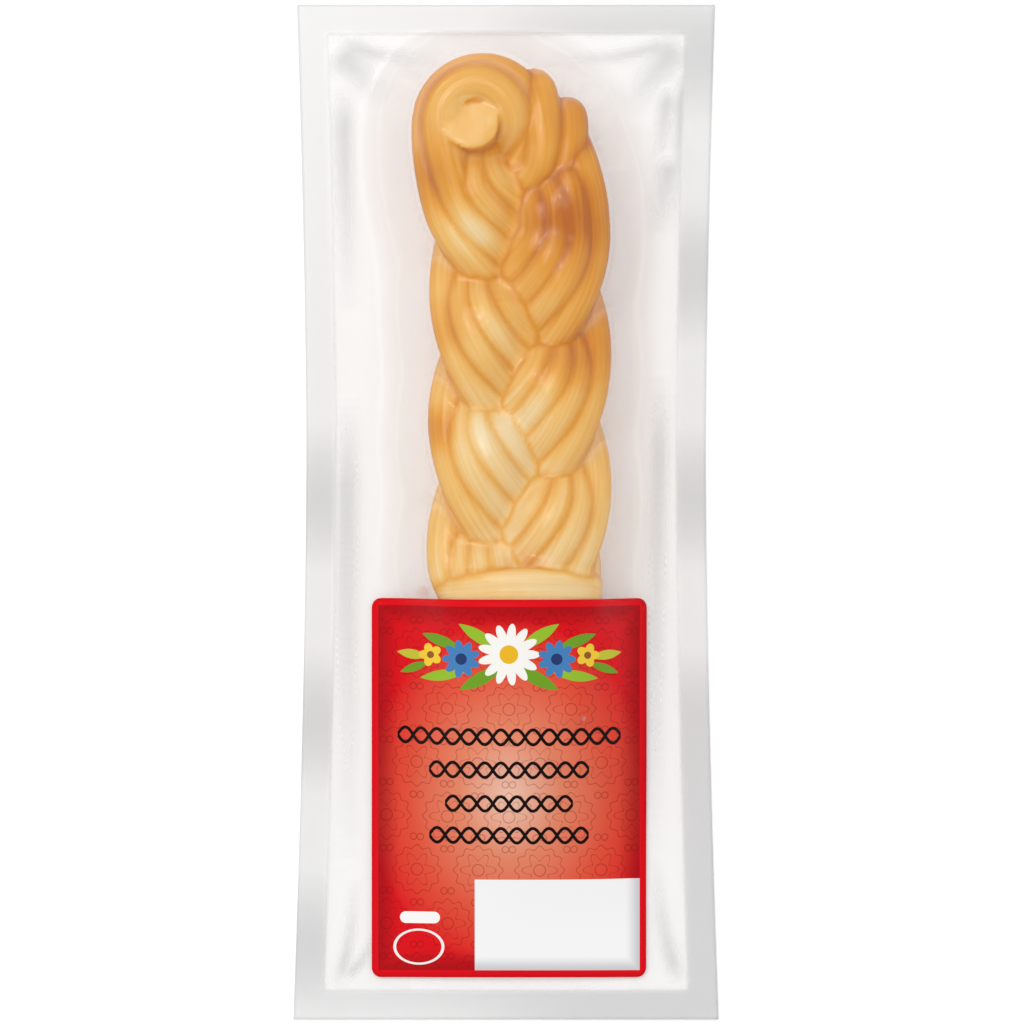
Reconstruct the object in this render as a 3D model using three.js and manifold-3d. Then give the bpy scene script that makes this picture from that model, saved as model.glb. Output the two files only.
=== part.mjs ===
// Braided smoked string cheese, vacuum packed in a clear sealed bag with a printed label.
// Millimetres, +Z up. The pack lies on its flat back with the front up, +Y runs to the loop end
// of the braid, and the origin is the middle of the back.
// The bag is one solid of its outer form: a flat seal round a film that is sucked down over the
// braid. The label is a thin sheet that lies on the film.

import * as THREE from "three";
import { mergeVertices } from "three/addons/utils/BufferGeometryUtils.js";
import Module from "manifold-3d";

// Bag: two films sealed together all round, drawn in a little at the waist
const BAG_LENGTH = 172.4;
const BAG_WIDTH_TOP = 71.0;
const BAG_WIDTH_WAIST = 67.8;
const BAG_WIDTH_BOTTOM = 72.2;
const WAIST_Y = 10.0;
const SEAL_WIDTH = 4.6;
const SEAL_THICKNESS = 0.5;
const OUTLINE_STEPS = 12;

// Braid: three strands of four ropes each, plaited with an even pitch. Heights of the cheese are
// taken from the inside of the bag's back.
const BRAID_X = 2.4;
const BRAID_MID_Z = 9.4;
const BRAID_PITCH = 66.3;
const BRAID_HALF_WIDTH = 15.4;
const FIRST_CROSSING_Y = 43.2;
const STRAND_SWAY = 8.4;
const STRAND_RISE = 4.1;
const STRAND_CROWN = 1.7;
const STRAND_RISE_LEAD = THREE.MathUtils.degToRad(6);
const ROPE_RISE_LAG = THREE.MathUtils.degToRad(13);
const FLANK_DROP = 0.45;
const FLANK_SQUEEZE = 0.35;
const STRAND_PHASE = { first: 0, second: (-2 * Math.PI) / 3, third: (2 * Math.PI) / 3 };
const ROPE_RADIUS = 3.3;
const ROPE_SPACING = 4.0;
const ROPE_ROWS = [-1.5, -0.5, 0.5, 1.5];

// Loop end: two ropes of the second strand fold over into the first, the other two come over the
// top from the back, and the rest start under the cut end
const FOLDS = [
  { x: -4.9, y: 64.5, lift: 4.6, radiusX: 6.4, radiusY: 7.6, rightRow: 1.5, leftRow: 0.5 },
  { x: -4.0, y: 64.5, lift: 1.6, radiusX: 8.9, radiusY: 9.5, rightRow: 0.5, leftRow: 1.5 },
];
const OVER_TOP = [
  { row: -0.5, x: 4.6, y: 75.0 },
  { row: -1.5, x: 10.4, y: 70.2 },
];
const LOOP_LEAN = { first: -3.0, others: -1.0 };
const LOOP_LEAN_FROM_Y = 40.0;
const LOOP_LEAN_TO_Y = 58.0;
const RIGHT_LEG_Y = 60.0;
const LEFT_LEG_Y = 54.0;

// Top of the third strand: its ropes keep to the right flank and dive behind one after another
const TOP_PHASE = THREE.MathUtils.degToRad(104);
const TOP_HOLD = 0.2;
const TOP_LIFT = 2.4;
const TOP_TAPER = -3.0;
const TOP_STARTS_Y = [60.6, 57.4, 54.4, 51.6];

// Cut end of the third strand, which stands up inside the loop
const STUB_X = -5.9;
const STUB_Y = 65.3;
const STUB_RADIUS_X = 4.9;
const STUB_RADIUS_Y = 4.0;
const STUB_TOP_Z = 17.6;

// Tie: a band of cheese wrapped round the braid, with the loose ends of the ropes below it
const TIE_Y = -14.4;
const TIE_HALF_WIDTH_X = 13.9;
const TIE_HALF_HEIGHT_Y = 4.6;
const TIE_TOP_Z = 18.9;
const TAIL_END_Y = -41.0;
const TAIL_TOP_Z = 14.5;

// Film: how sharply the vacuum can curve it, in 1/mm, on the cheese and where it hangs free
const FILM_CURVATURE_ON_CHEESE = 0.9;
const FILM_CURVATURE_FREE = 0.3;
const FILM_SWEEPS = 500;
const OVER_RELAXATION = 1.8;
const FINE_STEP = 1.15;
const COARSE_STEP = 3.6;

// Label: a sticker over the tie and the loose ends
const LABEL_X = 0.5;
const LABEL_Y = -46.8;
const LABEL_WIDTH = 46.6;
const LABEL_LENGTH = 64.4;
const LABEL_CORNER = 1.6;
const LABEL_THICKNESS = 0.35;
const LABEL_GAP = 0.3;
const LABEL_ARCH_HALF_WIDTH = 18.5;

const wasm = await Module();
wasm.setup();

function smoothstep(t) {
  const s = THREE.MathUtils.clamp(t, 0, 1);
  return s * s * (3 - 2 * s);
}

// Closed geometry to a solid for cutting and joining, and back
function solidFrom(geometry) {
  const bare = geometry.clone();
  bare.deleteAttribute("normal");
  bare.deleteAttribute("uv");
  const merged = mergeVertices(bare, 1e-4);
  return new wasm.Manifold(
    new wasm.Mesh({
      numProp: 3,
      vertProperties: new Float32Array(merged.attributes.position.array),
      triVerts: new Uint32Array(merged.index.array),
    }),
  );
}

function geometryFrom(solid) {
  const { vertProperties, triVerts } = solid.getMesh();
  const geometry = new THREE.BufferGeometry();
  geometry.setAttribute("position", new THREE.BufferAttribute(vertProperties, 3));
  geometry.setIndex(new THREE.BufferAttribute(triVerts, 1));
  geometry.computeVertexNormals();
  return geometry;
}

// Half the bag's width at a height, drawn in smoothly from each end to the waist
function bagHalfWidth(y) {
  const top = BAG_LENGTH / 2;
  const end = y > WAIST_Y ? BAG_WIDTH_TOP : BAG_WIDTH_BOTTOM;
  const span = y > WAIST_Y ? top - WAIST_Y : top + WAIST_Y;
  const share = Math.abs(y - WAIST_Y) / span;
  return (BAG_WIDTH_WAIST + (end - BAG_WIDTH_WAIST) * share ** 1.6) / 2;
}

// Braid. A strand swings from side to side once per pitch, over the front on its way in and over
// the back on its way out. Its ropes lie side by side, in a row square to its course that is
// squeezed at the flanks, and the inner ropes of a bend dive before the outer ones.
function ropeInStrand(strand, row, y) {
  const turn = (2 * Math.PI) / BRAID_PITCH;
  const plainPhase = (FIRST_CROSSING_Y - y) * turn + STRAND_PHASE[strand];
  const atTop = strand === "third" && plainPhase < TOP_PHASE;
  const phase = atTop ? TOP_PHASE - TOP_HOLD * (TOP_PHASE - plainPhase) : plainPhase;
  const taper = atTop ? TOP_TAPER * smoothstep((y - 51) / 15) : 0;
  const lift = atTop ? TOP_LIFT * smoothstep((y - 45) / 7) : 0;
  const swing = STRAND_SWAY * Math.sin(phase);
  const slope = STRAND_SWAY * turn * Math.cos(phase);
  const spread = ROPE_SPACING * (1 - FLANK_SQUEEZE * Math.sin(phase) ** 2);
  const out = (row * spread) / Math.hypot(1, slope);
  const atLoop = smoothstep((y - LOOP_LEAN_FROM_Y) / (LOOP_LEAN_TO_Y - LOOP_LEAN_FROM_Y));
  const x = swing - out + taper + atLoop * (LOOP_LEAN[strand] ?? LOOP_LEAN.others);
  const dome = 1 - FLANK_DROP * (x / BRAID_HALF_WIDTH) ** 2;
  const side = row / ROPE_ROWS.at(-1);
  const rise = STRAND_RISE + STRAND_CROWN * (1 - side * side);
  const risePhase = phase + STRAND_RISE_LEAD - ROPE_RISE_LAG * side * Math.cos(phase);
  const height = -rise * dome * Math.sin(2 * risePhase);
  return new THREE.Vector3(BRAID_X + x, y - out * slope, BRAID_MID_Z + height + lift);
}

// One rope of a strand, from a start height down to the tie
function ropeDown(strand, row, startY) {
  const points = [];
  const step = BRAID_PITCH / 24;
  for (let y = startY; y > TIE_Y + ROPE_RADIUS; y -= step) {
    points.push(ropeInStrand(strand, row, y));
  }
  return points;
}

// A folded rope: up the second strand, over the loop and down the first
function foldedRope(fold) {
  const over = [];
  for (let degrees = 0; degrees <= 180; degrees += 20) {
    const angle = THREE.MathUtils.degToRad(degrees);
    over.push(
      new THREE.Vector3(
        fold.x + fold.radiusX * Math.cos(angle),
        fold.y + fold.radiusY * Math.sin(angle),
        BRAID_MID_Z + fold.lift,
      ),
    );
  }
  return new THREE.CatmullRomCurve3([
    ...ropeDown("second", fold.rightRow, RIGHT_LEG_Y).reverse(),
    ...over,
    ...ropeDown("first", fold.leftRow, LEFT_LEG_Y),
  ]);
}

// A rope of the second strand that comes over the top of the braid from its back
function ropeOverTop(top) {
  return new THREE.CatmullRomCurve3([
    new THREE.Vector3(top.x - 1.0, top.y - 9.0, BRAID_MID_Z - 5.2),
    new THREE.Vector3(top.x - 0.5, top.y - 3.0, BRAID_MID_Z - 4.4),
    new THREE.Vector3(top.x, top.y - 0.6, BRAID_MID_Z),
    new THREE.Vector3(top.x + 0.7, top.y - 3.4, BRAID_MID_Z + 3.0),
    ...ropeDown("second", top.row, RIGHT_LEG_Y),
  ]);
}

// A rope of the first strand that starts at the cut end inside the loop
function cutRope(row) {
  const start = new THREE.Vector3(STUB_X + 2.0, STUB_Y - 3.0, BRAID_MID_Z);
  return new THREE.CatmullRomCurve3([start, ...ropeDown("first", row, LEFT_LEG_Y)]);
}

// A rope of the third strand, from behind at the right flank
function flankRope(row, startY) {
  const start = ropeInStrand("third", row, startY);
  return new THREE.CatmullRomCurve3([
    new THREE.Vector3(start.x - 2.2, start.y + 4.6, start.z - 8.0),
    new THREE.Vector3(start.x - 0.8, start.y + 2.8, start.z - 3.4),
    ...ropeDown("third", row, startY),
  ]);
}

// Grid lines of the film: fine over the braid, coarse elsewhere
function gradedLines(low, fineLow, fineHigh, high) {
  const run = (from, to, step) => {
    const count = Math.max(1, Math.round((to - from) / step));
    return Array.from({ length: count }, (_, i) => from + ((to - from) * i) / count);
  };
  return [
    ...run(low, fineLow, COARSE_STEP),
    ...run(fineLow, fineHigh, FINE_STEP),
    ...run(fineHigh, high, COARSE_STEP),
    high,
  ];
}

const windowTop = BAG_LENGTH / 2 - SEAL_WIDTH;
const windowHalf = BAG_WIDTH_WAIST / 2 - SEAL_WIDTH;
const lines = {
  x: gradedLines(-windowHalf, BRAID_X - 18.5, BRAID_X + 16.5, windowHalf),
  y: gradedLines(-windowTop, TIE_Y - 2, 79, windowTop),
};

// The window between the seals follows the waist, so its grid widens towards the ends
function windowX(x, y) {
  return (x * (bagHalfWidth(y) - SEAL_WIDTH)) / windowHalf;
}

// Height of the cheese's upper surface at each grid point, raised by one ball after another
function raise(height, curve, radius) {
  const centres = curve.getSpacedPoints(Math.ceil(curve.getLength()));
  for (const c of centres) {
    lines.y.forEach((y, j) => {
      if (Math.abs(y - c.y) >= radius) return;
      lines.x.forEach((x, i) => {
        const away = (windowX(x, y) - c.x) ** 2 + (y - c.y) ** 2;
        if (away < radius * radius) {
          height[j][i] = Math.max(height[j][i], c.z + Math.sqrt(radius * radius - away));
        }
      });
    });
  }
}

// Flat cut end inside the loop
function stubHeight(x, y) {
  const away = Math.hypot((x - STUB_X) / STUB_RADIUS_X, (y - STUB_Y) / STUB_RADIUS_Y);
  return away < 1 ? STUB_TOP_Z : 0;
}

// Band of the tie, and the smooth arch that a stiff label makes over the loose ends
function tieHeight(x, y) {
  const across = 1 - ((x - BRAID_X) / TIE_HALF_WIDTH_X) ** 2;
  const along = 1 - ((y - TIE_Y) / TIE_HALF_HEIGHT_Y) ** 2;
  return across > 0 && along > 0 ? TIE_TOP_Z * Math.sqrt(across) * along ** 0.12 : 0;
}

function labelArch(x, y) {
  const across = 1 - ((x - BRAID_X) / LABEL_ARCH_HALF_WIDTH) ** 2;
  if (across <= 0 || y > TIE_Y) return 0;
  const overTail = TIE_TOP_Z - (TIE_TOP_Z - TAIL_TOP_Z) * ((TIE_Y - y) / (TIE_Y - TAIL_END_Y));
  const pastTail = TAIL_TOP_Z * ((y + BAG_LENGTH / 2) / (TAIL_END_Y + BAG_LENGTH / 2)) ** 2;
  return Math.max(0, Math.min(overTail, pastTail)) * across ** 0.7;
}

function cheeseHeight() {
  const height = lines.y.map(() => lines.x.map(() => 0));
  const looped = FOLDS.map((fold) => fold.leftRow);
  const curves = [
    ...FOLDS.map(foldedRope),
    ...OVER_TOP.map(ropeOverTop),
    ...ROPE_ROWS.filter((row) => !looped.includes(row)).map((row) => cutRope(row)),
    ...ROPE_ROWS.map((row, i) => flankRope(row, TOP_STARTS_Y[i])),
  ];
  curves.forEach((curve) => raise(height, curve, ROPE_RADIUS));
  lines.y.forEach((y, j) =>
    lines.x.forEach((x, i) => {
      const at = windowX(x, y);
      height[j][i] = Math.max(height[j][i], stubHeight(at, y), tieHeight(at, y), labelArch(at, y));
    }),
  );
  return height;
}

// The film is a stretched skin that the vacuum pulls down onto the cheese and the back
function relaxFilm(cheese) {
  const film = cheese.map((row) => row.slice());
  for (let sweep = 0; sweep < FILM_SWEEPS; sweep++) {
    for (let j = 1; j < lines.y.length - 1; j++) {
      const below = lines.y[j] - lines.y[j - 1];
      const above = lines.y[j + 1] - lines.y[j];
      for (let i = 1; i < lines.x.length - 1; i++) {
        const left = lines.x[i] - lines.x[i - 1];
        const right = lines.x[i + 1] - lines.x[i];
        const inX = (film[j][i - 1] / left + film[j][i + 1] / right) * (2 / (left + right));
        const inY = (film[j - 1][i] / below + film[j + 1][i] / above) * (2 / (below + above));
        const clings = cheese[j][i] > 0 && lines.y[j] > LABEL_Y + LABEL_LENGTH / 2;
        const pull = clings ? FILM_CURVATURE_ON_CHEESE : FILM_CURVATURE_FREE;
        const even = (inX + inY - pull) / (2 / (left * right) + 2 / (below * above));
        const next = film[j][i] + OVER_RELAXATION * (even - film[j][i]);
        film[j][i] = Math.max(cheese[j][i], next, 0);
      }
    }
  }
  return film;
}

const film = relaxFilm(cheeseHeight());

// Film height between grid points
function filmHeight(x, y) {
  const cell = (list, at) => {
    const next = list.findIndex((line) => line > at);
    const index = THREE.MathUtils.clamp((next < 0 ? list.length : next) - 1, 0, list.length - 2);
    return { index, share: (at - list[index]) / (list[index + 1] - list[index]) };
  };
  const row = cell(lines.y, y);
  const column = cell(lines.x, (x * windowHalf) / (bagHalfWidth(y) - SEAL_WIDTH));
  const along = (j) =>
    THREE.MathUtils.lerp(film[j][column.index], film[j][column.index + 1], column.share);
  return THREE.MathUtils.lerp(along(row.index), along(row.index + 1), row.share);
}

// A box of grid cells whose upper and lower faces take the heights of two functions
function gridSolid(xs, ys, place, lower, upper) {
  const box = new THREE.BoxGeometry(1, 1, 1, xs.length - 1, ys.length - 1, 1);
  const position = box.attributes.position;
  for (let n = 0; n < position.count; n++) {
    const i = Math.round((position.getX(n) + 0.5) * (xs.length - 1));
    const j = Math.round((position.getY(n) + 0.5) * (ys.length - 1));
    const { x, y } = place(xs[i], ys[j]);
    position.setXYZ(n, x, y, position.getZ(n) > 0 ? upper(x, y, i, j) : lower(x, y, i, j));
  }
  return solidFrom(box);
}

function sealPlate() {
  const outline = new THREE.Shape();
  const heights = Array.from(
    { length: OUTLINE_STEPS + 1 },
    (_, n) => BAG_LENGTH * (n / OUTLINE_STEPS - 0.5),
  );
  const right = heights.map((y) => new THREE.Vector2(bagHalfWidth(y), y));
  const left = heights.reverse().map((y) => new THREE.Vector2(-bagHalfWidth(y), y));
  outline.setFromPoints([...right, ...left]);
  const options = { depth: SEAL_THICKNESS, bevelEnabled: false };
  return solidFrom(new THREE.ExtrudeGeometry(outline, options));
}

// The filled part of the bag starts inside the seal plate and rises out of it at the seal's edge
function filledWindow() {
  const edgeZ = SEAL_THICKNESS / 2;
  const onEdge = (i, j) =>
    i === 0 || j === 0 || i === lines.x.length - 1 || j === lines.y.length - 1;
  return gridSolid(
    lines.x,
    lines.y,
    (x, y) => ({ x: windowX(x, y), y }),
    () => edgeZ / 2,
    (x, y, i, j) => (onEdge(i, j) ? edgeZ : SEAL_THICKNESS + film[j][i]),
  );
}

function bagMesh() {
  const material = new THREE.MeshStandardMaterial({ color: 0xe3b06a, roughness: 0.4, metalness: 0 });
  const mesh = new THREE.Mesh(geometryFrom(sealPlate().add(filledWindow())), material);
  mesh.name = "bag";
  return mesh;
}

// Label: a sheet that follows the film, trimmed to a rectangle with round corners
function roundedRectangle(width, length, radius) {
  const shape = new THREE.Shape();
  const x = width / 2;
  const y = length / 2;
  shape.moveTo(x - radius, -y);
  shape.absarc(x - radius, -y + radius, radius, -Math.PI / 2, 0);
  shape.absarc(x - radius, y - radius, radius, 0, Math.PI / 2);
  shape.absarc(-x + radius, y - radius, radius, Math.PI / 2, Math.PI);
  shape.absarc(-x + radius, -y + radius, radius, Math.PI, 1.5 * Math.PI);
  return shape;
}

function labelMesh() {
  const near = (list, middle, size, margin) =>
    list.filter((line) => Math.abs(line - middle) < size / 2 + margin);
  const under = (x, y) => SEAL_THICKNESS + filmHeight(x, y) + LABEL_GAP;
  const sheet = gridSolid(
    near(lines.x, LABEL_X, LABEL_WIDTH, COARSE_STEP),
    near(lines.y, LABEL_Y, LABEL_LENGTH, COARSE_STEP),
    (x, y) => ({ x: windowX(x, y), y }),
    under,
    (x, y) => under(x, y) + LABEL_THICKNESS,
  );
  const trim = new THREE.ExtrudeGeometry(
    roundedRectangle(LABEL_WIDTH, LABEL_LENGTH, LABEL_CORNER),
    { depth: 2 * TIE_TOP_Z, bevelEnabled: false, curveSegments: 4 },
  ).translate(LABEL_X, LABEL_Y, 0);
  const material = new THREE.MeshStandardMaterial({ color: 0xd80e1a, roughness: 0.35, metalness: 0 });
  const mesh = new THREE.Mesh(geometryFrom(sheet.intersect(solidFrom(trim))), material);
  mesh.name = "label";
  return mesh;
}

const pack = new THREE.Group();
pack.add(bagMesh(), labelMesh());

export default pack;
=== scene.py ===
import math

import bmesh
import bpy
import numpy as np
from mathutils import Matrix, Vector, noise
from mathutils.bvhtree import BVHTree
from mathutils.kdtree import KDTree


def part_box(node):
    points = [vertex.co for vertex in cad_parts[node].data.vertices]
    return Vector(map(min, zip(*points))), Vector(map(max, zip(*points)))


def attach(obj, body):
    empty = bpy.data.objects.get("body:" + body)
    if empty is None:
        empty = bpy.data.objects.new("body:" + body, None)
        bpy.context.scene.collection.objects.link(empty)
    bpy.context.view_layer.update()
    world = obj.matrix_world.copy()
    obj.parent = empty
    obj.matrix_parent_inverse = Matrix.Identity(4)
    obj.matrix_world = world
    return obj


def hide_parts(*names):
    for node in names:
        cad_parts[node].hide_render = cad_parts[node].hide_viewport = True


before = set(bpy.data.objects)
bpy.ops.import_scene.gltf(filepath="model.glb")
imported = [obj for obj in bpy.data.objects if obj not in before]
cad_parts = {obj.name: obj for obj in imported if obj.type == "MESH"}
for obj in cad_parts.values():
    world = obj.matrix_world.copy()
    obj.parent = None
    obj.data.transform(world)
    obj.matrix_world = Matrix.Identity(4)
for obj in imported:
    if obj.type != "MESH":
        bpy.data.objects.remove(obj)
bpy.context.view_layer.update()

# Ropes of cheese
# A braid of smoked string cheese: three strands of four pulled ropes each. Two ropes are folded
# over at the top as a loop round a cut end, and a tie holds the lower end together.
MM = 0.001
braid_x = 2.4 * MM
braid_mid_z = 9.9 * MM
braid_pitch = 66.3 * MM
first_crossing_y = 43.2 * MM
braid_half_width = 15.4 * MM
strand_sway = 8.4 * MM
strand_rise = 4.1 * MM
strand_crown = 1.7 * MM
rise_lag = math.radians(-6)
rope_lag = math.radians(13)
flank_squeeze = 0.35
flank_drop = 0.45
rope_radius = 3.3 * MM
rope_spacing = 4.0 * MM
rope_rows = (-1.5, -0.5, 0.5, 1.5)
first_strand, second_strand, third_strand = 0.0, -2 * math.pi / 3, 2 * math.pi / 3
loop_lean = -3.0 * MM
loop_lean_from_y, loop_lean_to_y = 40 * MM, 58 * MM
right_leg_y, left_leg_y = 60 * MM, 54 * MM
over_top_leg_y, cut_leg_y = 61 * MM, 56 * MM

# Top of the third strand: its ropes keep to the right flank and dive behind one after another
top_phase = math.radians(104)
top_hold = 0.2
top_lift = 2.4 * MM
top_lift_from_y, top_lift_to_y = 45 * MM, 52 * MM
top_taper = -3.0 * MM
top_taper_from_y, top_taper_to_y = 51 * MM, 66 * MM
top_starts = (60.6 * MM, 57.4 * MM, 54.4 * MM, 51.6 * MM)

# Cut end, tie and loose ends
stub_end = Vector((-5.9 * MM, 65.3 * MM, 17.6 * MM))
stub_radius = 4.9 * MM
tie_y = -14.4 * MM
tie_half_height = 4.6 * MM
tail_end_y = -41.0 * MM
tail_spacing_x = 6.2 * MM
tail_spacing_z = 3.3 * MM
tail_widening = 0.35
tail_trim = 5 * MM
tail_scatter = 2.5 * MM

# Unevenness of hand-pulled ropes
rope_variety = 0.22
swell_share = 0.07
swell_pace = 0.06
stub_seed, tie_seed, core_seed = 30, 40, 50


def ease(low, high, value):
    share = min(1.0, max(0.0, (value - low) / (high - low)))
    return share * share * (3 - 2 * share)


def rope_in_strand(phase_shift, row, y):
    turn = 2 * math.pi / braid_pitch
    phase = (first_crossing_y - y) * turn + phase_shift
    lean = loop_lean if phase_shift == first_strand else loop_lean / 3
    shift, lift = lean * ease(loop_lean_from_y, loop_lean_to_y, y), 0.0
    if phase_shift == third_strand and phase < top_phase:
        phase = top_phase - top_hold * (top_phase - phase)
        shift += top_taper * ease(top_taper_from_y, top_taper_to_y, y)
        lift = top_lift * ease(top_lift_from_y, top_lift_to_y, y)
    swing = strand_sway * math.sin(phase)
    slope = strand_sway * turn * math.cos(phase)
    spread = rope_spacing * (1 - flank_squeeze * math.sin(phase) ** 2)
    out = row * spread / math.hypot(1, slope)
    x = swing - out + shift
    dome = 1 - flank_drop * (x / braid_half_width) ** 2
    side = row / rope_rows[-1]
    rise = strand_rise + strand_crown * (1 - side ** 2)
    height = -rise * dome * math.sin(2 * (phase - rise_lag - rope_lag * side * math.cos(phase)))
    return Vector((braid_x + x, y - out * slope, braid_mid_z + height + lift))


def rope_in_tail(column, row, y):
    spread = 1 + tail_widening * max(0.0, (tie_y - y) / (tie_y - tail_end_y))
    height = braid_mid_z / spread
    return Vector((braid_x + column * tail_spacing_x * spread, y, height - row * tail_spacing_z / spread))


def rope_down(phase_shift, column, row, start_y, end_y):
    points = []
    y = start_y
    while y > end_y:
        in_tail = ease(-(tie_y + tie_half_height), -(tie_y - tie_half_height), -y)
        braided = rope_in_strand(phase_shift, row, y)
        points.append(braided.lerp(rope_in_tail(column, row, y), in_tail))
        y -= braid_pitch / 60
    return points


def loop_over(centre, radius_x, radius_y):
    points = []
    for degrees in range(0, 191, 10):
        angle = math.radians(degrees)
        points.append(centre + Vector((radius_x * math.cos(angle), radius_y * math.sin(angle), 0)))
    return points


def even_route(points, step):
    """The route through the points at even steps, rounded off by a few passes of averaging."""
    route = np.array(points)
    for _ in range(6):
        route[1:-1] = 0.5 * route[1:-1] + 0.25 * (route[:-2] + route[2:])
    lengths = np.concatenate([[0], np.cumsum(np.linalg.norm(np.diff(route, axis=0), axis=1))])
    stations = np.linspace(0, lengths[-1], max(2, int(lengths[-1] / step)))
    return np.stack([np.interp(stations, lengths, route[:, axis]) for axis in range(3)], axis=1)


def sweep_rope(body, route, radius, seed, sides=12):
    """Extrudes a ring along a route, with the slow swelling of a hand-pulled rope."""
    tube = bmesh.new()
    side = Vector((0, 0, 1))
    ring = None
    for index, place in enumerate(route):
        ahead = Vector(route[min(index + 1, len(route) - 1)]) - Vector(route[max(index - 1, 0)])
        ahead.normalize()
        side = (side - side.dot(ahead) * ahead).normalized()
        swell = 1 + swell_share * noise.noise(Vector((seed * 9.1, index * swell_pace, 0.0)))
        basis = Matrix((side, ahead.cross(side), ahead)).transposed().to_4x4()
        matrix = Matrix.Translation(place) @ basis @ Matrix.Scale(radius * swell, 4)
        if ring is None:
            circle = bmesh.ops.create_circle(tube, cap_ends=True, segments=sides, radius=1, matrix=matrix)
            ring = circle["verts"]
            edges = list({edge for vert in ring for edge in vert.link_edges})
        else:
            grown = bmesh.ops.extrude_edge_only(tube, edges=edges)["geom"]
            ring = [item for item in grown if isinstance(item, bmesh.types.BMVert)]
            fresh = set(ring)
            edges = [
                item for item in grown
                if isinstance(item, bmesh.types.BMEdge) and set(item.verts) <= fresh
            ]
            bmesh.ops.transform(tube, matrix=matrix @ last.inverted(), verts=ring)
        last = matrix
    bmesh.ops.contextual_create(tube, geom=edges)
    swept = bpy.data.meshes.new("rope")
    tube.to_mesh(swept)
    tube.free()
    body.from_mesh(swept)
    bpy.data.meshes.remove(swept)


body = bmesh.new()
legs = []
joints = []
rope_step = 1.2 * MM


def add_rope(points, seed):
    route = even_route(points, rope_step)
    thickness = 1 + rope_variety * noise.noise(Vector((seed * 2.3, 0.7, 0.4)))
    sweep_rope(body, route, rope_radius * thickness, seed)
    return route


def tail_cut(number):
    return tail_end_y + tail_trim + tail_scatter * noise.noise(Vector((number * 3.7, 1.5, 0)))


# The two folded ropes make the loop: inner and outer
inner_loop = loop_over(Vector((-4.9 * MM, 64.5 * MM, braid_mid_z + 4.6 * MM)), 6.4 * MM, 7.6 * MM)
outer_loop = loop_over(Vector((-4.0 * MM, 64.5 * MM, braid_mid_z + 1.6 * MM)), 8.9 * MM, 9.5 * MM)
for number, (loop, right_row, left_row) in enumerate(((inner_loop, 1.5, 0.5), (outer_loop, 0.5, 1.5))):
    up = rope_down(second_strand, 0, right_row, right_leg_y, tail_cut(number))[::-1]
    down = rope_down(first_strand, -1, left_row, left_leg_y, tail_cut(number + 2))
    folded = add_rope(up + loop + down, number)
    top = int(np.argmax(folded[:, 1]))
    joints.append((folded[top], len(legs)))
    legs += [folded[:top + 1], folded[top:]]

# The rest of the second strand comes over the top from the back
for number, (row, top_x, top_y) in enumerate(((-0.5, 4.6, 75.0), (-1.5, 10.4, 70.2))):
    over_top = [
        Vector(((top_x - 2.5) * MM, (top_y - 20) * MM, braid_mid_z - 3.6 * MM)),
        Vector(((top_x - 1.8) * MM, (top_y - 15) * MM, braid_mid_z - 4.8 * MM)),
        Vector(((top_x - 1) * MM, (top_y - 9) * MM, braid_mid_z - 5.2 * MM)),
        Vector(((top_x - 0.5) * MM, (top_y - 4) * MM, braid_mid_z - 5.0 * MM)),
        Vector(((top_x - 0.2) * MM, (top_y - 1.2) * MM, braid_mid_z - 3.2 * MM)),
        Vector((top_x * MM, top_y * MM, braid_mid_z)),
        Vector(((top_x + 0.6) * MM, (top_y - 1.6) * MM, braid_mid_z + 2.4 * MM)),
        Vector(((top_x + 0.8) * MM, (top_y - 5) * MM, braid_mid_z + 3.6 * MM)),
    ]
    down = rope_down(second_strand, 0, row, over_top_leg_y, tail_cut(number + 4))
    legs.append(add_rope(over_top + down, number + 4))

# The rest of the first strand starts under the cut end, and the third dives behind at the right
for number, row in enumerate((-1.5, -0.5)):
    start = [stub_end + Vector((2.0 * MM, -3.0 * MM, -6.5 * MM))]
    down = rope_down(first_strand, -1, row, cut_leg_y, tail_cut(number + 6))
    legs.append(add_rope(start + down, number + 6))
for number, (row, start_y) in enumerate(zip(rope_rows, top_starts)):
    start = rope_in_strand(third_strand, row, start_y)
    behind = [
        start + Vector((-2.2 * MM, 4.6 * MM, -8.0 * MM)),
        start + Vector((-0.8 * MM, 2.8 * MM, -3.4 * MM)),
    ]
    down = rope_down(third_strand, 1, row, start_y, tail_cut(number + 8))
    legs.append(add_rope(behind + down, number + 8))

# Stub of a rope inside the loop, cut straight across
stub_foot = stub_end + Vector((0.6 * MM, -3.0 * MM, -9.0 * MM))
stub = even_route([stub_foot.lerp(stub_end, share / 8) for share in range(9)], 0.8 * MM)
sweep_rope(body, stub, stub_radius, stub_seed, sides=24)
legs.append(stub)

# Tie: a flat band of cheese wrapped once round the braid
tie_half_width = 11.6 * MM
tie_half_depth = 7.4 * MM
tie_skew = 0.6 * MM
tie_rope_radius = 2.4 * MM
tie_steps = 60
tie = np.array([
    Vector((
        braid_x + tie_half_width * math.cos(step * math.tau / tie_steps),
        tie_y + tie_skew * math.sin(step * math.tau / tie_steps),
        braid_mid_z + tie_half_depth * math.sin(step * math.tau / tie_steps),
    ))
    for step in range(tie_steps + 2)
])
for offset in (-2.2, 0.0, 2.2):
    sweep_rope(body, tie + np.array((0, offset * MM, 0)), tie_rope_radius, tie_seed + offset)
legs.append(tie)

# Core that fills the hollow between the strands
core_radius = 5.5 * MM
core = [Vector((braid_x, y * MM, braid_mid_z)) for y in range(58, -36, -2)]
sweep_rope(body, even_route(core, 2 * MM), core_radius, core_seed)

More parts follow.
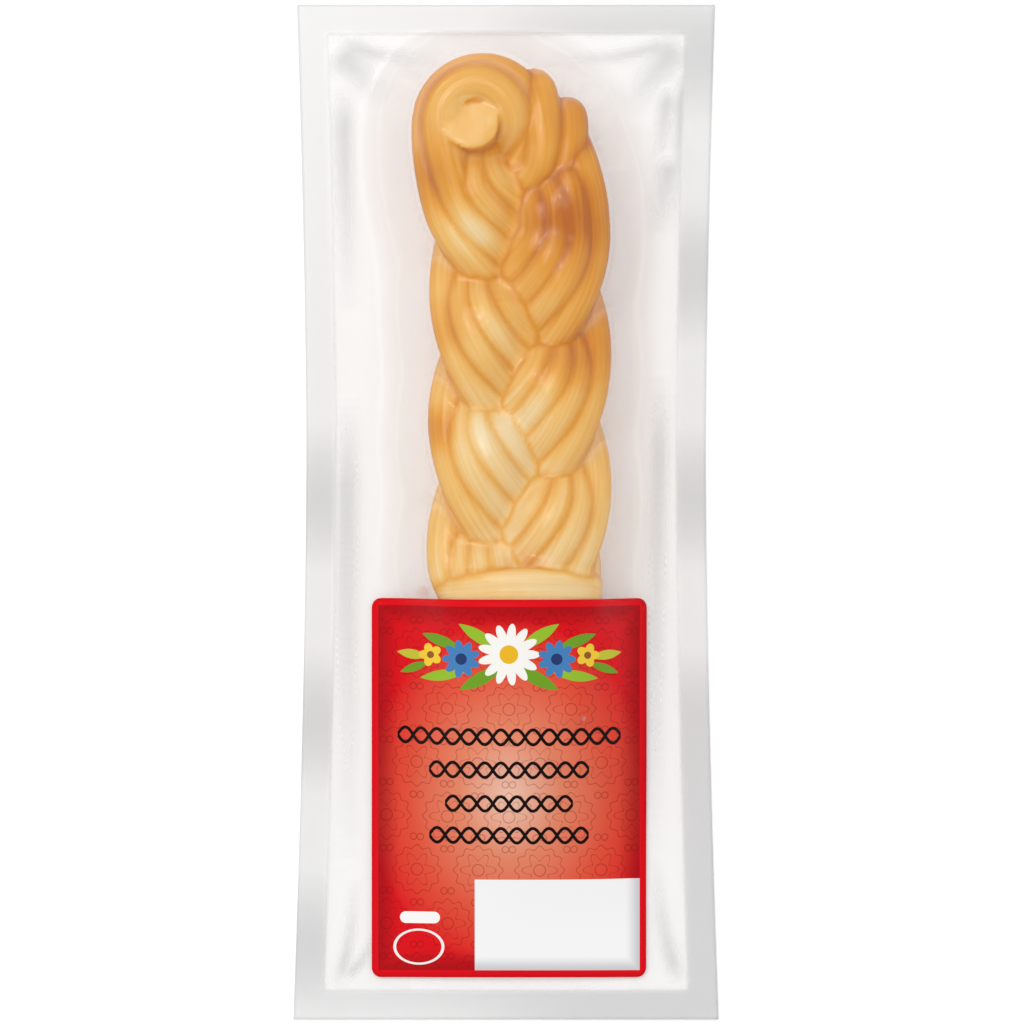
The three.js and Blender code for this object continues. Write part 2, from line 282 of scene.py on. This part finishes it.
cheese_mesh = bpy.data.meshes.new("cheese")
body.to_mesh(cheese_mesh)
body.free()
cheese = bpy.data.objects.new("braid", cheese_mesh)
bpy.context.collection.objects.link(cheese)

# The ropes stick together while warm: one skin over all of them, softened at the creases
fuse = cheese.modifiers.new("Fuse", "REMESH")
fuse.mode = "VOXEL"
fuse.voxel_size = 0.45 * MM
soften = cheese.modifiers.new("Soften", "SMOOTH")
soften.factor = 0.5
soften.iterations = 9
depsgraph = bpy.context.evaluated_depsgraph_get()
cheese.data = bpy.data.meshes.new_from_object(cheese.evaluated_get(depsgraph))
cheese.modifiers.clear()
cheese.data.name = "cheese"
cheese.data.shade_smooth()

# Where each point lies along and round its own rope, and how near it is to the seam with the next
mesh = cheese.data
count = len(mesh.vertices)
points = np.empty(count * 3)
mesh.vertices.foreach_get("co", points)
points = points.reshape(-1, 3)
facing = np.empty(count * 3)
mesh.vertex_normals.foreach_get("vector", facing)
facing = facing.reshape(-1, 3)
gaps = np.ones((len(legs), count))
grain = np.zeros((count, 3))
tone = np.zeros(count)
joint_reach = 11 * MM
second_legs = {leg + 1: leg for _, leg in joints}
for number, route in enumerate(legs):
    first = second_legs.get(number, number)
    before = len(legs[first]) - 1 if number in second_legs else 0
    tree = KDTree(len(route))
    for index, place in enumerate(route):
        tree.insert(place, index)
    tree.balance()
    found = [tree.find(point)[1:] for point in points]
    nearest = np.array([index for index, _ in found])
    gaps[number] = [gap for _, gap in found]
    mine = gaps[number] <= gaps[:number + 1].min(axis=0)
    ahead = np.gradient(route, axis=0)[nearest]
    ahead /= np.linalg.norm(ahead, axis=1)[:, None]
    up = np.array((0, 0, 1)) - ahead * ahead[:, 2:]
    up /= np.linalg.norm(up, axis=1)[:, None] + 1e-9
    out = points - route[nearest]
    around = np.arctan2((out * np.cross(ahead, up)).sum(axis=1), (out * up).sum(axis=1))
    along = (nearest + before) * rope_step / (10 * MM) + first * 7.3
    grain[mine] = np.stack([np.cos(around), np.sin(around), along], axis=1)[mine]
    tone[mine] = noise.noise(Vector((first * 5.3, 0.5, 0.2)))
for joint, leg in joints:
    near = np.linalg.norm(points - joint, axis=1) < joint_reach
    first_is_far = gaps[leg] > gaps[leg + 1]
    gaps[leg, near & first_is_far] = 1.0
    gaps[leg + 1, near & ~first_is_far] = 1.0
gaps.sort(axis=0)

# Amber of the skin: painted shade deepens it in the seams between ropes and on the flanks that turn away
# from above, and it is also deeper towards the upper end and on the right
seam_shade = np.clip(1 - (gaps[1] - gaps[0]) / (1.6 * MM), 0, 1) ** 2
flank_shade = np.clip(1 - facing[:, 2], 0, 1) ** 1.5
upper = np.clip((points[:, 1] + 12 * MM) / (82 * MM), 0, 1)
right = np.clip((points[:, 0] - braid_x) / (13 * MM), 0, 1)
amber = 0.19 + 0.3 * seam_shade + 0.38 * flank_shade + 0.26 * upper + 0.3 * right * upper + 0.14 * tone

# Deeper and paler patches, the deeper ones at the lobes' edges partly painted shade: place and reach in
# millimetres, and strength
tone_and_shade_patches = (
    (9.5, 49.0, 8.0, 0.4),
    (14.0, 27.0, 7.0, 0.3),
    (-11.5, 14.0, 4.0, 0.4),
    (-13.0, 56.0, 5.0, 0.25),
    (-10.0, 31.0, 4.0, 0.2),
    (-5.5, 46.5, 5.0, -0.28),
    (-5.5, 14.0, 5.5, -0.3),
    (5.0, 16.0, 5.0, -0.22),
    (-3.5, 30.0, 5.0, -0.15),
)
for x, y, reach, strength in tone_and_shade_patches:
    away = np.hypot(points[:, 0] - x * MM, points[:, 1] - y * MM) / (reach * MM)
    amber += strength * np.exp(-away ** 2)
cut_end = (points[:, 2] > stub_end.z - 0.9 * MM) & (
    np.hypot(points[:, 0] - stub_end.x, points[:, 1] - stub_end.y) < stub_radius - 0.3 * MM
)
amber[cut_end] = 0.36
grain[cut_end] = points[cut_end] / (12 * MM)
for name, kind, values in (("amber", "FLOAT", amber), ("grain", "FLOAT_VECTOR", grain)):
    layer = mesh.attributes.new(name, kind, "POINT")
    layer.data.foreach_set("value" if kind == "FLOAT" else "vector", values.ravel())


class Shade:
    """A socket in a material's node tree. Arithmetic on it adds the Math nodes that it needs."""

    def __init__(self, tree, socket=None):
        self.tree = tree
        self.socket = socket

    def node(self, kind, settings=None, inputs=None, output=0):
        """Adds a node of any type, with its settings first and then its values or links."""
        made = self.tree.nodes.new(kind)
        for name, setting in (settings or {}).items():
            if name == "stops":
                ramp = made.color_ramp.elements
                while len(ramp) < len(setting):
                    ramp.new(0.5)
                for stop, (position, colour) in zip(ramp, setting):
                    stop.position = position
                    stop.color = colour
            else:
                setattr(made, name, setting)
        for key, given in (inputs or {}).items():
            if isinstance(given, Shade):
                self.tree.links.new(given.socket, made.inputs[key])
            else:
                made.inputs[key].default_value = given
        return Shade(self.tree, made.outputs[output] if made.outputs else None)

    def math(self, operation, *values):
        return self.node("ShaderNodeMath", {"operation": operation}, dict(enumerate(values)))

    def __add__(self, other):
        return self.math("ADD", self, other)

    def __sub__(self, other):
        return self.math("SUBTRACT", self, other)

    def __rsub__(self, other):
        return self.math("SUBTRACT", other, self)

    def __mul__(self, other):
        return self.math("MULTIPLY", self, other)

    def __truediv__(self, other):
        return self.math("DIVIDE", self, other)

    def __pow__(self, other):
        return self.math("POWER", self, other)

    def __lt__(self, other):
        return self.math("LESS_THAN", self, other)

    def __gt__(self, other):
        return self.math("GREATER_THAN", self, other)

    def __abs__(self):
        return self.math("ABSOLUTE", self)

    def __or__(self, other):
        return self.math("MAXIMUM", self, other)

    def __and__(self, other):
        return self.math("MULTIPLY", self, other)

    __radd__ = __add__
    __rmul__ = __mul__

    def paint(self, under, over):
        """The colour over where this mask is 1, and the colour under where it is 0."""
        return self.node(
            "ShaderNodeMix", {"data_type": "RGBA"}, {"Factor": self, 6: under, 7: over}, output=2
        )


def srgb(red, green, blue):
    """A colour as seen on a screen, 0 to 255, as the linear values that a shader takes."""
    def linear(value):
        share = value / 255
        return share / 12.92 if share <= 0.04045 else ((share + 0.055) / 1.055) ** 2.4
    return (linear(red), linear(green), linear(blue), 1.0)


def new_material(name):
    material = bpy.data.materials.new(name)
    material.use_nodes = True
    material.node_tree.nodes.clear()
    return material, Shade(material.node_tree)


def surface(shade):
    """Makes a shader the material's surface."""
    shade.node("ShaderNodeOutputMaterial", {}, {"Surface": shade})


cheese_material, shade = new_material("smoked cheese")
amber_and_shade_here = shade.node("ShaderNodeAttribute", {"attribute_name": "amber"}, output="Fac")
grain_here = shade.node("ShaderNodeAttribute", {"attribute_name": "grain"}, output="Vector")
long_grain = shade.node(
    "ShaderNodeVectorMath", {"operation": "MULTIPLY"}, {0: grain_here, 1: (5, 5, 0.5)}
)
fibres = shade.node("ShaderNodeTexNoise", {}, {
    "Vector": long_grain,
    "Scale": 1.0, "Detail": 4.0, "Roughness": 0.6,
}, output="Fac")
clouds = shade.node("ShaderNodeTexNoise", {}, {
    "Vector": shade.node("ShaderNodeTexCoord", output="Object"),
    "Scale": 90.0, "Detail": 2.0,
}, output="Fac")
# The amber attribute holds painted shade from the seams and flanks, together with the cheese's own tone
smoke_and_shade = amber_and_shade_here + 0.42 * (fibres - 0.5) + 0.35 * (clouds - 0.5)
cheese_colour = smoke_and_shade.node("ShaderNodeValToRGB", {"stops": (
    (0.0, srgb(250, 228, 184)),
    (0.3, srgb(244, 196, 110)),
    (0.55, srgb(234, 165, 52)),
    (0.8, srgb(218, 138, 12)),
    (1.0, srgb(196, 108, 4)),
)}, {"Fac": smoke_and_shade})
fibre_relief = shade.node("ShaderNodeBump", {}, {"Height": fibres, "Strength": 0.25, "Distance": 0.4 * MM})
surface(shade.node("ShaderNodeBsdfPrincipled", {}, {
    "Base Color": cheese_colour,
    "Roughness": 0.42,
    "Specular IOR Level": 0.15,
    "Subsurface Weight": 0.35,
    "Subsurface Radius": (1.0, 0.65, 0.3),
    "Subsurface Scale": 1.6 * MM,
    "Normal": fibre_relief,
}))
cheese.data.materials.clear()
cheese.data.materials.append(cheese_material)
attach(cheese, "root")

# Bag
# Two clear films sealed together all round and pumped empty, so that the front one lies tight over the
# braid. The sealed border is milky, with grey bands painted on it as reflections of the studio lights, and
# the free film is creased where it is drawn in, with painted shade along the creases.
bag_low, bag_high = (Vector(corner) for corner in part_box("bag"))
bag_half_length = (bag_high.y - bag_low.y) / 2
bag_half_bottom = (bag_high.x - bag_low.x) / 2
bag_half_top = bag_half_bottom - 0.6 * MM
bag_half_waist = bag_half_bottom - 2.2 * MM
bag_waist_y = 10 * MM
seal_width = 4.6 * MM
seal_cells = 7
window_columns, window_rows = 90, 250
film_back_z = 0.1 * MM
film_front_z = 0.5 * MM
film_gap = 0.2 * MM
steep_step = 0.5 * MM
film_bend_on_cheese = 0.7 / MM
film_bend_free = 0.3 / MM
film_sweeps = 500
over_relaxation = 1.8
label_low, label_high = (Vector(corner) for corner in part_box("label"))
label_middle = (label_low + label_high) / 2
label_arch_half_width = 18.5 * MM
tie_top = 18.9 * MM
tail_top = 14.5 * MM


def tree_of(mesh):
    corners = [vertex.co for vertex in mesh.vertices]
    return BVHTree.FromPolygons(corners, [tuple(polygon.vertices) for polygon in mesh.polygons])


def bag_half_width(y):
    end = bag_half_top if y > bag_waist_y else bag_half_bottom
    span = bag_half_length - bag_waist_y if y > bag_waist_y else bag_half_length + bag_waist_y
    return bag_half_waist + (end - bag_half_waist) * (abs(y - bag_waist_y) / span) ** 1.6


def label_arch(x, y):
    """Height of the smooth arch that the stiff label makes over the tie and the loose ends."""
    across = 1 - ((x - braid_x) / label_arch_half_width) ** 2
    if across <= 0 or y > tie_y:
        return 0.0
    over_tail = tie_top - (tie_top - tail_top) * (tie_y - y) / (tie_y - tail_end_y)
    past_tail = tail_top * ((y + bag_half_length) / (tail_end_y + bag_half_length)) ** 2
    return max(0.0, min(over_tail, past_tail)) * across ** 0.7


def seal_reflection_band(x, y):
    """Painted reflection: bands of grey along the sealed border, standing for the studio lights mirrored in
    it, below the middle on the left, and above it on the right.
    """
    dark_y, band_length = 2.5 * MM, 38 * MM
    left = math.cos((min(y, dark_y + band_length / 2) - dark_y) * math.tau / band_length)
    right = math.cos((max(y, dark_y - band_length) - dark_y) * math.tau / band_length)
    return left + (right - left) * (0.5 + 0.5 * math.tanh(x / (12 * MM)))


# Film over the cheese: a stretched skin, pulled down between what holds it up
window_half = bag_half_waist - seal_width
window_top = bag_half_length - seal_width
window_x = np.linspace(-window_half, window_half, window_columns + 1)
window_y = np.linspace(-window_top, window_top, window_rows + 1)
cell = window_x[1] - window_x[0]
place_x = np.array([window_x * (bag_half_width(y) - seal_width) / window_half for y in window_y])
place_y = np.repeat(window_y[:, None], window_columns + 1, axis=1)
cheese_tree = tree_of(mesh)
held = np.zeros(place_x.shape)
for place in np.ndindex(place_x.shape):
    x, y = place_x[place], place_y[place]
    hit = cheese_tree.ray_cast(Vector((x, y, 1.0)), Vector((0, 0, -1)))[0]
    on_cheese = hit.z + film_gap - film_front_z if hit else 0.0
    held[place] = max(0.0, on_cheese, label_arch(x, y))

# Down a steep flank the film stands one cell further out, so that no cheese comes through it
beside = held
for axis in (0, 1):
    beside = np.maximum(beside, np.maximum(np.roll(beside, 1, axis), np.roll(beside, -1, axis)))
steep = np.clip((beside - held) / steep_step - 1, 0, 1)
held = held + steep * (beside - film_gap - held)
clings = (held > 0) & (place_y > label_high.y)
bend = np.where(clings, film_bend_on_cheese, film_bend_free)
film = held.copy()
checker = np.indices(film.shape).sum(axis=0) % 2
inside = np.zeros(film.shape, bool)
inside[1:-1, 1:-1] = True
for _ in range(film_sweeps):
    for parity in (0, 1):
        around = np.zeros(film.shape)
        around[1:-1, 1:-1] = film[:-2, 1:-1] + film[2:, 1:-1] + film[1:-1, :-2] + film[1:-1, 2:]
        settled = film + over_relaxation * ((around - cell * cell * bend) / 4 - film)
        film = np.where(inside & (checker == parity), np.maximum(settled, held), film)

# Creases of the free film: start, middle and end in millimetres, width and height
crease_spread = 1.3
crease_rise = 0.4
creases = (
    ((-29.6, 81.0), (-20.0, 76.0), (-8.0, 77.2), 0.9, 0.8),
    ((-29.6, 79.0), (-25.0, 75.5), (-20.5, 69.5), 2.2, 0.8),
    ((-28.0, 74.0), (-27.8, 55.0), (-27.0, 34.0), 1.4, 0.7),
    ((29.6, 81.0), (19.0, 76.2), (6.5, 77.4), 0.9, 0.8),
    ((29.8, 80.0), (25.0, 75.5), (20.0, 68.0), 2.2, 0.8),
    ((27.6, 73.0), (26.6, 66.0), (25.4, 58.0), 1.2, 0.7),
    ((30.0, 76.0), (29.4, 62.0), (28.4, 48.0), 1.0, 0.7),
    ((27.8, 61.5), (27.0, 54.0), (25.4, 47.0), 1.6, 0.7),
    ((26.2, 24.0), (25.4, -10.0), (25.4, -60.0), 1.3, 0.7),
    ((29.6, -80.0), (26.0, -72.0), (25.4, -58.0), 1.0, 0.7),
    ((-27.0, 20.0), (-27.6, -20.0), (-26.4, -60.0), 1.6, 0.6),
    ((-28.8, -80.4), (-26.0, -72.0), (-25.8, -62.0), 0.8, 0.8),
    ((-27.6, -79.2), (-23.5, -76.0), (-21.6, -70.0), 0.7, 0.7),
)
# Painted shade along each crease, given to the film as more haze and a deeper grey
crease_shade = np.zeros(film.shape)
for start, middle, end, width, height in creases:
    share = np.linspace(0, 1, 60)[:, None]
    route = (1 - share) ** 2 * np.array(start) + 2 * share * (1 - share) * np.array(middle)
    route = (route + share ** 2 * np.array(end)) * MM
    near = np.full(film.shape, 1.0)
    fade = np.zeros(film.shape)
    for (x, y), along in zip(route, share[:, 0]):
        away = np.hypot(place_x - x, place_y - y)
        fade = np.where(away < near, min(1, along / 0.2) * (1 - along) ** 0.7, fade)
        near = np.minimum(near, away)
    ridge = fade * np.exp(-(near / (crease_spread * width * MM)) ** 2)
    film += np.where(inside & (held == 0), crease_rise * height * MM * ridge, 0)
    crease_shade = np.maximum(crease_shade, ridge)

# Mesh of the bag: the front film with its seal, and a flat copy of it as the back film
sheet = bmesh.new()
columns, rows = window_columns + 2 * seal_cells, window_rows + 2 * seal_cells
bmesh.ops.create_grid(sheet, x_segments=columns, y_segments=rows, size=1)
haze_and_shade_layer = sheet.verts.layers.float.new("haze")
grey_and_painted_light_layer = sheet.verts.layers.float.new("grey")
seal_cell = seal_width / seal_cells
seal_haze, clear_haze = 0.625, 0.015625
free_haze, crease_shade_haze = 0.12, 0.55
seal_grey, seal_reflection_swing = 0.15, 0.29
free_grey, crease_shade_grey = 0.25, 0.6
for vert in sheet.verts:
    column = round((vert.co.x + 1) / 2 * columns) - seal_cells
    row = round((vert.co.y + 1) / 2 * rows) - seal_cells
    window_column = min(window_columns, max(0, column))
    window_row = min(window_rows, max(0, row))
    beyond_x = (column - window_column) * seal_cell
    beyond_y = (row - window_row) * seal_cell
    y = window_y[window_row] + beyond_y
    x = window_x[window_column] * (bag_half_width(y) - seal_width) / window_half + beyond_x
    in_seal = beyond_x != 0 or beyond_y != 0
    vert.co = (x, y, film_front_z + (0 if in_seal else film[window_row, window_column]))
    if in_seal or window_column in (0, window_columns) or window_row in (0, window_rows):
        vert[haze_and_shade_layer] = seal_haze
        # The seal's grey swings in bands of painted reflection
        vert[grey_and_painted_light_layer] = seal_grey + seal_reflection_swing * seal_reflection_band(x, y)
    else:
        free = held[window_row, window_column] == 0
        crease = crease_shade[window_row, window_column]
        # Creases of the free film get painted shade: more haze and a deeper grey
        vert[haze_and_shade_layer] = free_haze + crease_shade_haze * crease if free else clear_haze
        vert[grey_and_painted_light_layer] = free_grey + crease_shade_grey * crease
for face in sheet.faces:
    face.smooth = True
copied = bmesh.ops.duplicate(sheet, geom=sheet.verts[:] + sheet.edges[:] + sheet.faces[:])["geom"]
for vert in (item for item in copied if isinstance(item, bmesh.types.BMVert)):
    vert.co.z = film_back_z
    vert[haze_and_shade_layer] = seal_haze if vert[haze_and_shade_layer] == seal_haze else clear_haze
bmesh.ops.bridge_loops(sheet, edges=[edge for edge in sheet.edges if edge.is_boundary])
bmesh.ops.recalc_face_normals(sheet, faces=sheet.faces)
film_mesh = bpy.data.meshes.new("bag_film")
sheet.to_mesh(film_mesh)
sheet.free()
bag_film = bpy.data.objects.new("bag_film", film_mesh)
bpy.context.collection.objects.link(bag_film)

film_material, shade = new_material("clear film")
haze_and_shade_here = shade.node("ShaderNodeAttribute", {"attribute_name": "haze"}, output="Fac")
grey_and_painted_light_here = shade.node("ShaderNodeAttribute", {"attribute_name": "grey"}, output="Fac")
# The milky part's grey and haze carry the painted reflections on the seal and the painted shade of the
# creases, as well as the film's own milkiness
milk = shade.node("ShaderNodeBsdfPrincipled", {}, {
    "Base Color": grey_and_painted_light_here.paint(srgb(252, 252, 252), srgb(196, 196, 197)),
    "Roughness": 0.35,
})
clear = shade.node("ShaderNodeBsdfTransparent", {}, {"Color": (0.974, 0.972, 0.968, 1)})
gloss = shade.node("ShaderNodeBsdfGlossy", {}, {"Color": (1, 1, 1, 1), "Roughness": 0.14})
body_of_film = shade.node("ShaderNodeMixShader", {}, {0: haze_and_shade_here, 1: clear, 2: milk})
shine = shade.node("ShaderNodeLayerWeight", {}, {"Blend": 0.08}, output="Facing") + 0.018
surface(shade.node("ShaderNodeMixShader", {}, {0: shine, 1: body_of_film, 2: gloss}))
bag_film.data.materials.append(film_material)
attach(bag_film, "root")
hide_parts("bag")

# Label
# A printed sticker on the front film, over the tie and the loose ends: a red field with a pale
# middle, fine tone-on-tone rosettes, a garland, plaited rules and a blank white panel.
label_size = label_high - label_low
label_corner = 1.6 * MM
label_gap = 0.15 * MM
label_thickness = 0.15 * MM
label_cell = 1.3 * MM
sheet = bmesh.new()
bmesh.ops.create_grid(sheet, x_segments=1, y_segments=1, size=0.5)
bmesh.ops.scale(sheet, vec=(label_size.x, label_size.y, 1), verts=sheet.verts)
bmesh.ops.translate(sheet, vec=(label_middle.x, label_middle.y, 0), verts=sheet.verts)
bmesh.ops.bevel(
    sheet, geom=sheet.verts[:], affect="VERTICES", offset=label_corner, segments=6, profile=0.5, material=-1
)
for axis, low, high in ((0, label_low.x, label_high.x), (1, label_low.y, label_high.y)):
    cuts = round((high - low) / label_cell)
    for cut in range(1, cuts):
        place, normal = Vector((0, 0, 0)), Vector((0, 0, 0))
        place[axis] = low + (high - low) * cut / cuts
        normal[axis] = 1
        everything = sheet.verts[:] + sheet.edges[:] + sheet.faces[:]
        bmesh.ops.bisect_plane(sheet, geom=everything, plane_co=place, plane_no=normal)
film_tree = tree_of(film_mesh)
for vert in sheet.verts:
    on_film = film_tree.ray_cast(Vector((vert.co.x, vert.co.y, 1)), Vector((0, 0, -1)))[0]
    vert.co.z = on_film.z + label_gap
stuck = {vert: vert.co.z for vert in sheet.verts}
bmesh.ops.smooth_vert(sheet, verts=sheet.verts, factor=0.5, use_axis_z=True)
for vert, height in stuck.items():
    vert.co.z = max(vert.co.z, height)
bmesh.ops.recalc_face_normals(sheet, faces=sheet.faces)
bmesh.ops.solidify(sheet, geom=sheet.faces[:], thickness=-label_thickness)
bmesh.ops.recalc_face_normals(sheet, faces=sheet.faces)
label_mesh = bpy.data.meshes.new("label")
sheet.to_mesh(label_mesh)
sheet.free()
label_mesh.shade_smooth()
label = bpy.data.objects.new("printed_label", label_mesh)
bpy.context.collection.objects.link(label)

# Print, laid out in millimetres from the middle of the label
label_material, shade = new_material("printed label")
object_place = shade.node("ShaderNodeTexCoord", output="Object")
spot = shade.node("ShaderNodeSeparateXYZ", {}, {0: object_place}, output="X")
flat_x = (spot - label_middle.x) * 1000
flat_y = (Shade(spot.tree, spot.socket.node.outputs["Y"]) - label_middle.y) * 1000
side_x = abs(flat_x)
field_half_x, field_half_y = 22.2, 31.0


def length(x, y):
    return (x * x + y * y) ** 0.5


def flower(x, y, petals, radius):
    angle = shade.math("ARCTAN2", y, x)
    return length(x, y) < radius * (0.62 + 0.38 * abs(shade.math("COSINE", angle * (petals / 2))))


def leaf(x, y, degrees, half_length, half_width):
    cos, sin = math.cos(math.radians(degrees)), math.sin(math.radians(degrees))
    along = (x * cos + y * sin) / half_length
    return abs(y * cos - x * sin) < half_width * (1 - along * along)


glow = length(flat_x / 24, (flat_y + 1) / 30)
colour = shade.node("ShaderNodeValToRGB", {"stops": (
    (0.0, srgb(242, 196, 174)),
    (0.35, srgb(230, 136, 104)),
    (0.7, srgb(226, 84, 60)),
    (1.0, srgb(222, 18, 28)),
)}, {"Fac": glow})

# Rosettes in staggered rows, in lines a little darker than the field
rosette_x, rosette_y = 10.4, 9.2
rosette_row = shade.math("FLOOR", flat_y / rosette_y)
odd_row = shade.math("FLOORED_MODULO", rosette_row, 2)
local_x = shade.math("FLOORED_MODULO", flat_x + odd_row * (rosette_x / 2), rosette_x) - rosette_x / 2
local_y = shade.math("FLOORED_MODULO", flat_y, rosette_y) - rosette_y / 2
reach = length(local_x, local_y)
bearing = shade.math("ARCTAN2", local_y, local_x)
line = 0.1
drawn = abs(reach - 1.0) < line
drawn = drawn | (abs(reach - 2.3 - 0.7 * shade.math("COSINE", bearing * 6)) < line)
drawn = drawn | (abs(reach - 3.9 - 0.3 * shade.math("COSINE", bearing * 12)) < line)
drawn = drawn | (abs(length(abs(local_x) - 4.6, abs(local_y) - 3.6) - 0.55) < line)
colour = (drawn * 0.4).paint(colour, srgb(120, 10, 16))

# The field darkens to its edge
edge_gap = shade.math("MINIMUM", field_half_x - side_x, field_half_y - abs(flat_y))
dusk = shade.node("ShaderNodeMapRange", {"interpolation_type": "SMOOTHSTEP"}, {
    "Value": edge_gap, "From Min": 0.0, "From Max": 4.2, "To Min": 0.55, "To Max": 0.0,
})
colour = dusk.paint(colour, srgb(120, 10, 18))

# Garland: a daisy between cornflowers, buttercups and leaves
garland_y = flat_y - 22.6
for x, y, degrees, half_length, half_width, green in (
    (4.6, -3.6, -28, 4.2, 1.1, srgb(112, 160, 40)),
    (5.0, 3.4, 32, 4.0, 1.0, srgb(150, 190, 50)),
    (11.2, -3.2, -8, 3.8, 0.9, srgb(150, 190, 50)),
    (11.4, 2.6, 20, 3.4, 0.9, srgb(112, 160, 40)),
    (16.4, 0.2, 8, 2.6, 0.8, srgb(196, 196, 60)),
    (16.0, -2.0, -20, 2.6, 0.7, srgb(112, 160, 40)),
):
    colour = leaf(side_x - x, garland_y - y, degrees, half_length, half_width).paint(colour, green)
for x, y, petals, radius, petal_colour, heart_colour in (
    (0.0, 0.4, 13, 5.2, srgb(248, 246, 240), srgb(236, 184, 40)),
    (8.0, -0.4, 9, 3.2, srgb(70, 128, 186), srgb(40, 60, 110)),
    (13.2, 0.2, 5, 2.0, srgb(242, 206, 60), srgb(150, 90, 40)),
):
    flower_x, flower_y = (flat_x if x == 0 else side_x - x), garland_y - y
    colour = flower(flower_x, flower_y, petals, radius).paint(colour, petal_colour)
    colour = (length(flower_x, flower_y) < radius * 0.3).paint(colour, heart_colour)

# Rules: four plaited lines of two waves each
wave_height, wave_length, stroke = 1.25, 5.4, 0.27
wave = flat_x * (math.tau / wave_length)
swing = shade.math("SINE", wave) * wave_height
lean = shade.math("COSINE", wave) * (wave_height * math.tau / wave_length)
steep = length(lean, 1 + 0 * lean)
for y, half_width in ((9.1, 18.9), (3.5, 13.5), (-2.3, 10.8), (-7.8, 13.5)):
    row_y = flat_y - y
    plait = (abs(row_y - swing) < steep * stroke) | (abs(row_y + swing) < steep * stroke)
    colour = (plait & (side_x < half_width)).paint(colour, srgb(22, 10, 10))

# Blank white panel, shaded to its lower right, a white bar and a white oval ring
panel_left, panel_top = -5.8, -15.4
panel = (flat_x > panel_left) & (flat_y < panel_top)
panel_edge = shade.math("MINIMUM", field_half_x - flat_x, field_half_y + flat_y)
panel_dusk = shade.node("ShaderNodeMapRange", {"interpolation_type": "SMOOTHSTEP"}, {
    "Value": panel_edge, "From Min": 0.0, "From Max": 2.6, "To Min": 0.75, "To Max": 0.0,
})
colour = panel.paint(colour, panel_dusk.paint(srgb(248, 247, 248), srgb(186, 186, 190)))
bar_x = shade.math("MAXIMUM", abs(flat_x + 15.1) - 2.4, 0.0)
colour = (length(bar_x, flat_y + 22.0) < 1.0).paint(colour, srgb(250, 248, 246))
oval = length((flat_x + 15.3) / 4.1, (flat_y + 27.0) / 2.9)
colour = (abs(oval - 1) < 0.06).paint(colour, srgb(250, 240, 238))
border = (side_x > field_half_x) | (abs(flat_y) > field_half_y)
colour = border.paint(colour, srgb(226, 12, 26))
surface(shade.node("ShaderNodeBsdfPrincipled", {}, {
    "Base Color": colour,
    "Roughness": 0.45,
    "Specular IOR Level": 0.06,
}))
label.data.materials.append(label_material)
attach(label, "root")
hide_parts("label")

# Studio
# A plain white floor under soft light from all round, with a broad key and a small glint from
# the upper left.
floor_mesh = bpy.data.meshes.new("floor")
sheet = bmesh.new()
bmesh.ops.create_grid(sheet, x_segments=1, y_segments=1, size=3)
sheet.to_mesh(floor_mesh)
sheet.free()
floor = bpy.data.objects.new("floor", floor_mesh)
bpy.context.collection.objects.link(floor)
floor_material, shade = new_material("floor")
surface(shade.node("ShaderNodeBsdfPrincipled", {}, {
    "Base Color": srgb(245, 245, 245),
    "Roughness": 0.9,
    "Emission Color": (1, 1, 1, 1),
    "Emission Strength": 0.18,
}))
floor.data.materials.append(floor_material)

for name, energy, size, place in (
    ("key", 3.8, 0.8, (-0.28, 0.4, 1.0)),
    ("glint", 0.4, 0.14, (-0.3, 0.36, 0.9)),
):
    light_data = bpy.data.lights.new(name, "AREA")
    light_data.energy = energy
    light_data.size = size
    light = bpy.data.objects.new(name, light_data)
    light.location = place
    light.rotation_euler = (-Vector(place)).to_track_quat("-Z", "Y").to_euler()
    bpy.context.collection.objects.link(light)
world = bpy.data.worlds.new("studio")
world.use_nodes = True
world.node_tree.nodes["Background"].inputs["Color"].default_value = (1, 1, 1, 1)
world.node_tree.nodes["Background"].inputs["Strength"].default_value = 0.74
bpy.context.scene.world = world
bpy.context.scene.view_settings.view_transform = "Standard"

camera_data = bpy.data.cameras.new("camera")
camera_data.lens = 200
camera_data.sensor_width = 36
camera = bpy.data.objects.new("camera", camera_data)
photo_pixels, pixel_size = 1024, 0.17 * MM
photo_width = photo_pixels * pixel_size
photo_middle_x = 6 * pixel_size
camera.location = (photo_middle_x, 0, photo_width * camera_data.lens / camera_data.sensor_width)
bpy.context.collection.objects.link(camera)
bpy.context.scene.camera = camera
